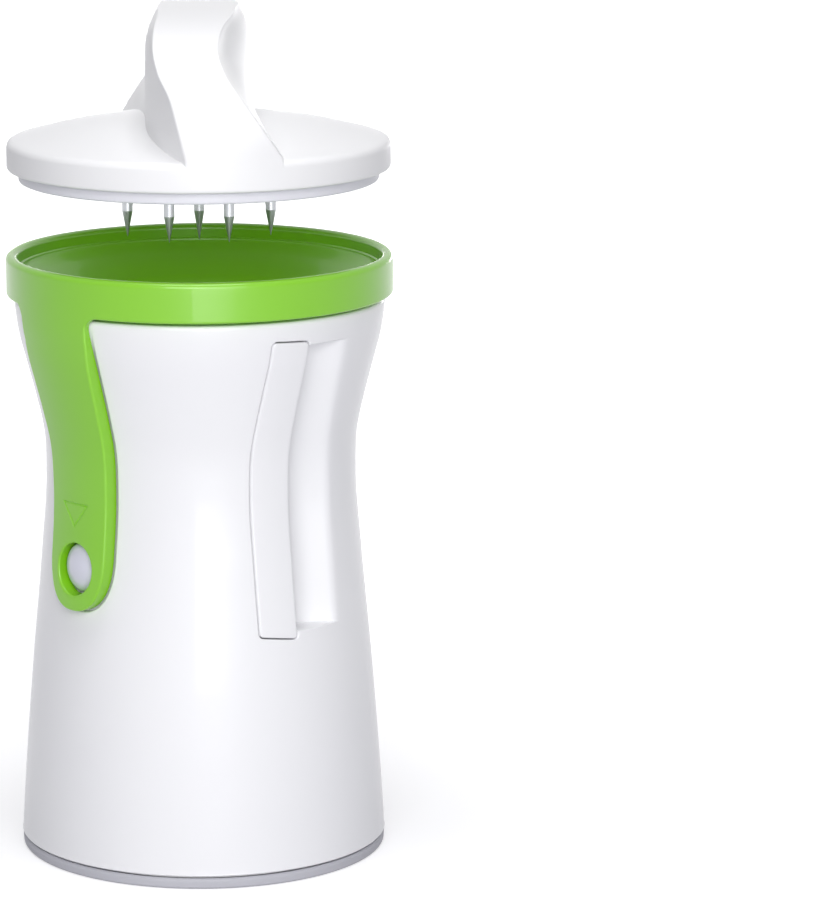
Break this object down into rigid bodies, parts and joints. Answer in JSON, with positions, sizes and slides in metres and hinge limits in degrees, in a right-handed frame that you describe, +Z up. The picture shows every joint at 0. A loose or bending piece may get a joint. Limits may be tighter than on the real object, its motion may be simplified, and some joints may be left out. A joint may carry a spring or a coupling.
{
  "type": "vegetable spiralizer",
  "caption": "Hand-held vegetable spiralizer: waisted body with a side exit, green collar with an arm, cutting cone with blade and comb, and a lift-off hand-twisted pusher with spikes.",
  "frame": {"origin": "centre of the foot ring's underside, on the table", "axes": "+Z up along the turning axis of the pusher; the picture's camera looks along +Y, with the arm front left and the exit front right"},
  "size_m": [0.088, 0.088, 0.194],
  "materials": {
    "white_plastic": "smooth moulded gloss",
    "cap_plastic": "fine satin moulding",
    "green_plastic": "smooth moulded lime green",
    "grey_plastic": "satin moulded",
    "button_plastic": "polished dome",
    "soft_foot": "soft non-slip",
    "blade_steel": "ground and bright",
    "fastener_steel": "plated"
  },
  "bodies": {
    "base": {"body_shell": "white_plastic", "slot_bar": "white_plastic", "foot_ring": "soft_foot", "grip_collar": "green_plastic", "cutting_cone": "green_plastic", "cutting_blade": "blade_steel", "strand_comb": "blade_steel", "blade_screw_1": "fastener_steel", "blade_screw_2": "fastener_steel", "flange_screw_1": "fastener_steel", "flange_screw_2": "fastener_steel", "flange_screw_3": "fastener_steel", "latch_cup": "white_plastic", "button_spring": "fastener_steel"},
    "button": {"release_button": "button_plastic"},
    "ring": {"guide_ring": "grey_plastic"},
    "pusher": {"pusher_cap": "cap_plastic", "spike_plate": "white_plastic", "plate_screw_1": "fastener_steel", "plate_screw_2": "fastener_steel", "plate_screw_3": "fastener_steel", "plate_screw_4": "fastener_steel", "spike_1": "blade_steel", "spike_2": "blade_steel", "spike_3": "blade_steel", "spike_4": "blade_steel", "spike_5": "blade_steel", "spike_6": "blade_steel", "spike_7": "blade_steel", "spike_8": "blade_steel", "spike_9": "blade_steel"}
  },
  "joints": [
    {"name": "pusher_lift", "type": "slide", "parent": "base", "child": "ring", "axis": [0, 0, 1], "range_m": [-0.0192, 0.06]},
    {"name": "pusher_turn", "type": "hinge", "parent": "ring", "child": "pusher", "pos_m": [0, 0, 0.1575], "axis": [0, 0, 1], "continuous": true},
    {"name": "button_press", "type": "slide", "parent": "base", "child": "button", "axis": [0.7302, 0.6833, 0], "range_m": [0, 0.0015], "stiffness_N_per_m": 400, "springref_m": -0.001, "deforming": ["button_spring"]}
  ]
}
